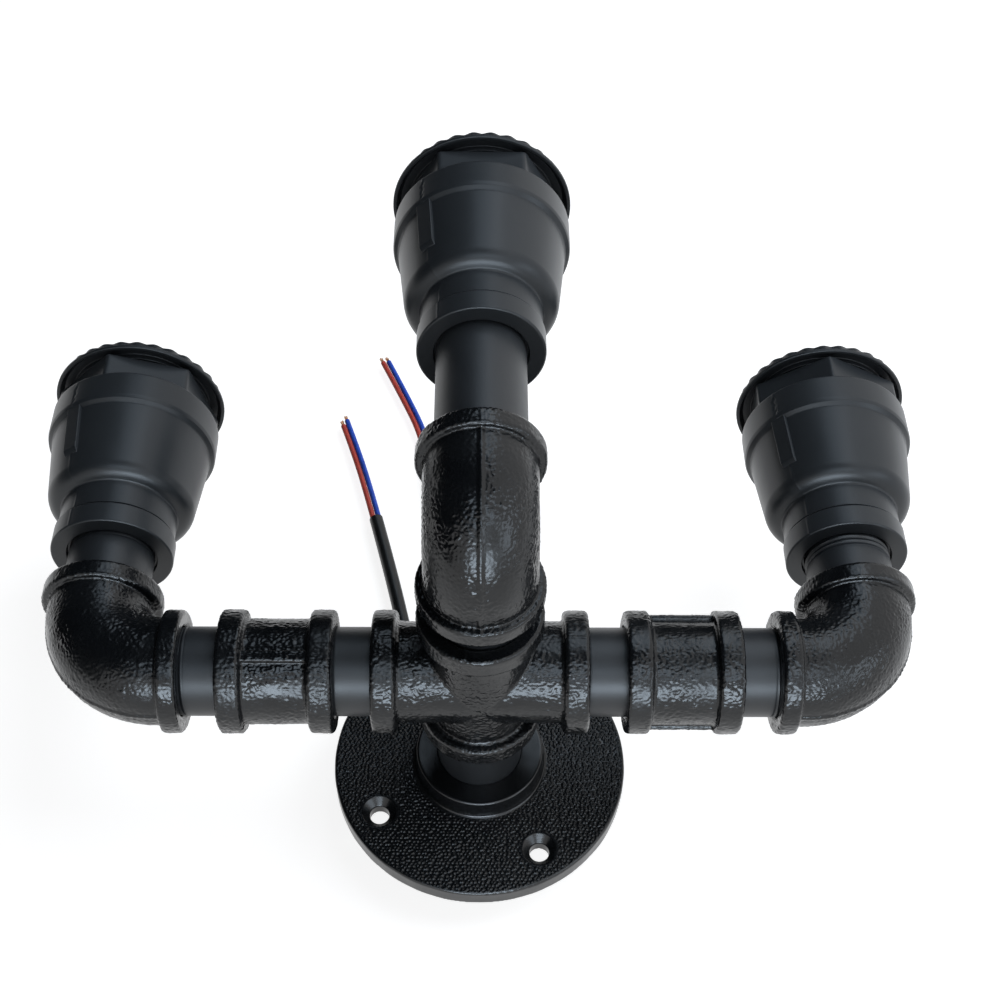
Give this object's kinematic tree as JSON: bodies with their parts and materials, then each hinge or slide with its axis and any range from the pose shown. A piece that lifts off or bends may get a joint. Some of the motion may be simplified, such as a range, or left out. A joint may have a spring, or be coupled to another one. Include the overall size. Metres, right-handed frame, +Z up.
{
  "type": "industrial pipe wall light",
  "caption": "Wall light of black threaded pipe fittings: a round flange, a cross and three aimable arms, each with a screw lampholder in a moulded cup.",
  "frame": {"origin": "centre of the flange's back face, on the wall", "axes": "+X to the right as seen from the room, +Y into the wall, +Z up along the lamps"},
  "size_m": [0.292, 0.1713, 0.2497],
  "materials": {
    "flange_paint": "satin black powder paint over a pebbled casting",
    "cast_paint": "semi-gloss black paint over orange-peel cast iron",
    "pipe_paint": "satin black paint on drawn pipe",
    "cup_plastic": "fine-textured black moulded plastic",
    "ring_plastic": "black moulded plastic",
    "holder_plastic": "black phenolic moulding",
    "brass": "bright stamped brass",
    "steel": "zinc-plated screw steel",
    "cable_sheath": "matt black flexible sheath",
    "red_insulation": "red silicone insulation",
    "blue_insulation": "blue silicone insulation",
    "copper": "bare stranded copper",
    "splice_plastic": "natural nylon"
  },
  "bodies": {
    "frame": {"wall_flange": "flange_paint", "cross": "cast_paint", "left_coupling": "cast_paint", "right_coupling": "cast_paint", "flange_nipple": "pipe_paint", "left_inner_nipple": "pipe_paint", "right_inner_nipple": "pipe_paint", "left_outer_nipple": "pipe_paint", "right_outer_nipple": "pipe_paint", "centre_close_nipple": "pipe_paint", "left_arm_cable": "cable_sheath", "right_arm_cable": "cable_sheath", "side_feed_cable": "cable_sheath", "centre_feed_cable": "cable_sheath", "side_lead_sheath": "cable_sheath", "centre_lead_sheath": "cable_sheath", "splice_block": "splice_plastic", "side_lead_red": "red_insulation", "side_lead_blue": "blue_insulation", "centre_lead_red": "red_insulation", "centre_lead_blue": "blue_insulation", "lead_tips": "copper"},
    "left_lamp": {"left_elbow": "cast_paint", "left_riser": "pipe_paint", "left_lamp_cup": "cup_plastic", "left_hex_bush": "cup_plastic", "left_lampholder": "holder_plastic", "left_screw_shell": "brass", "left_centre_contact": "brass", "left_terminals": "steel", "left_lamp_cable": "cable_sheath", "left_red_core": "red_insulation", "left_blue_core": "blue_insulation"},
    "left_ring": {"left_lock_ring": "ring_plastic"},
    "centre_lamp": {"centre_elbow": "cast_paint", "centre_riser": "pipe_paint", "centre_lamp_cup": "cup_plastic", "centre_hex_bush": "cup_plastic", "centre_lampholder": "holder_plastic", "centre_screw_shell": "brass", "centre_centre_contact": "brass", "centre_terminals": "steel", "centre_lamp_cable": "cable_sheath", "centre_red_core": "red_insulation", "centre_blue_core": "blue_insulation"},
    "centre_ring": {"centre_lock_ring": "ring_plastic"},
    "right_lamp": {"right_elbow": "cast_paint", "right_riser": "pipe_paint", "right_lamp_cup": "cup_plastic", "right_hex_bush": "cup_plastic", "right_lampholder": "holder_plastic", "right_screw_shell": "brass", "right_centre_contact": "brass", "right_terminals": "steel", "right_lamp_cable": "cable_sheath", "right_red_core": "red_insulation", "right_blue_core": "blue_insulation"},
    "right_ring": {"right_lock_ring": "ring_plastic"}
  },
  "joints": [
    {"name": "left_lamp_swivel", "type": "hinge", "parent": "frame", "child": "left_lamp", "pos_m": [-0.0889, -0.0585, 0], "axis": [1, 0, 0], "range_deg": [-15, 180]},
    {"name": "right_lamp_swivel", "type": "hinge", "parent": "frame", "child": "right_lamp", "pos_m": [0.0889, -0.0585, 0], "axis": [1, 0, 0], "range_deg": [-15, 180]},
    {"name": "centre_lamp_swivel", "type": "hinge", "parent": "frame", "child": "centre_lamp", "pos_m": [0, -0.0988, 0], "axis": [0, 1, 0], "range_deg": [-180, 180]},
    {"name": "left_ring_turn", "type": "hinge", "parent": "left_lamp", "child": "left_ring", "pos_m": [-0.1175, -0.0585, 0.1088], "axis": [0, 0, 1], "range_deg": [0, 540]},
    {"name": "centre_ring_turn", "type": "hinge", "parent": "centre_lamp", "child": "centre_ring", "pos_m": [0, -0.1274, 0.1321], "axis": [0, 0, 1], "range_deg": [0, 540]},
    {"name": "right_ring_turn", "type": "hinge", "parent": "right_lamp", "child": "right_ring", "pos_m": [0.1175, -0.0585, 0.1088], "axis": [0, 0, 1], "range_deg": [0, 540]}
  ]
}
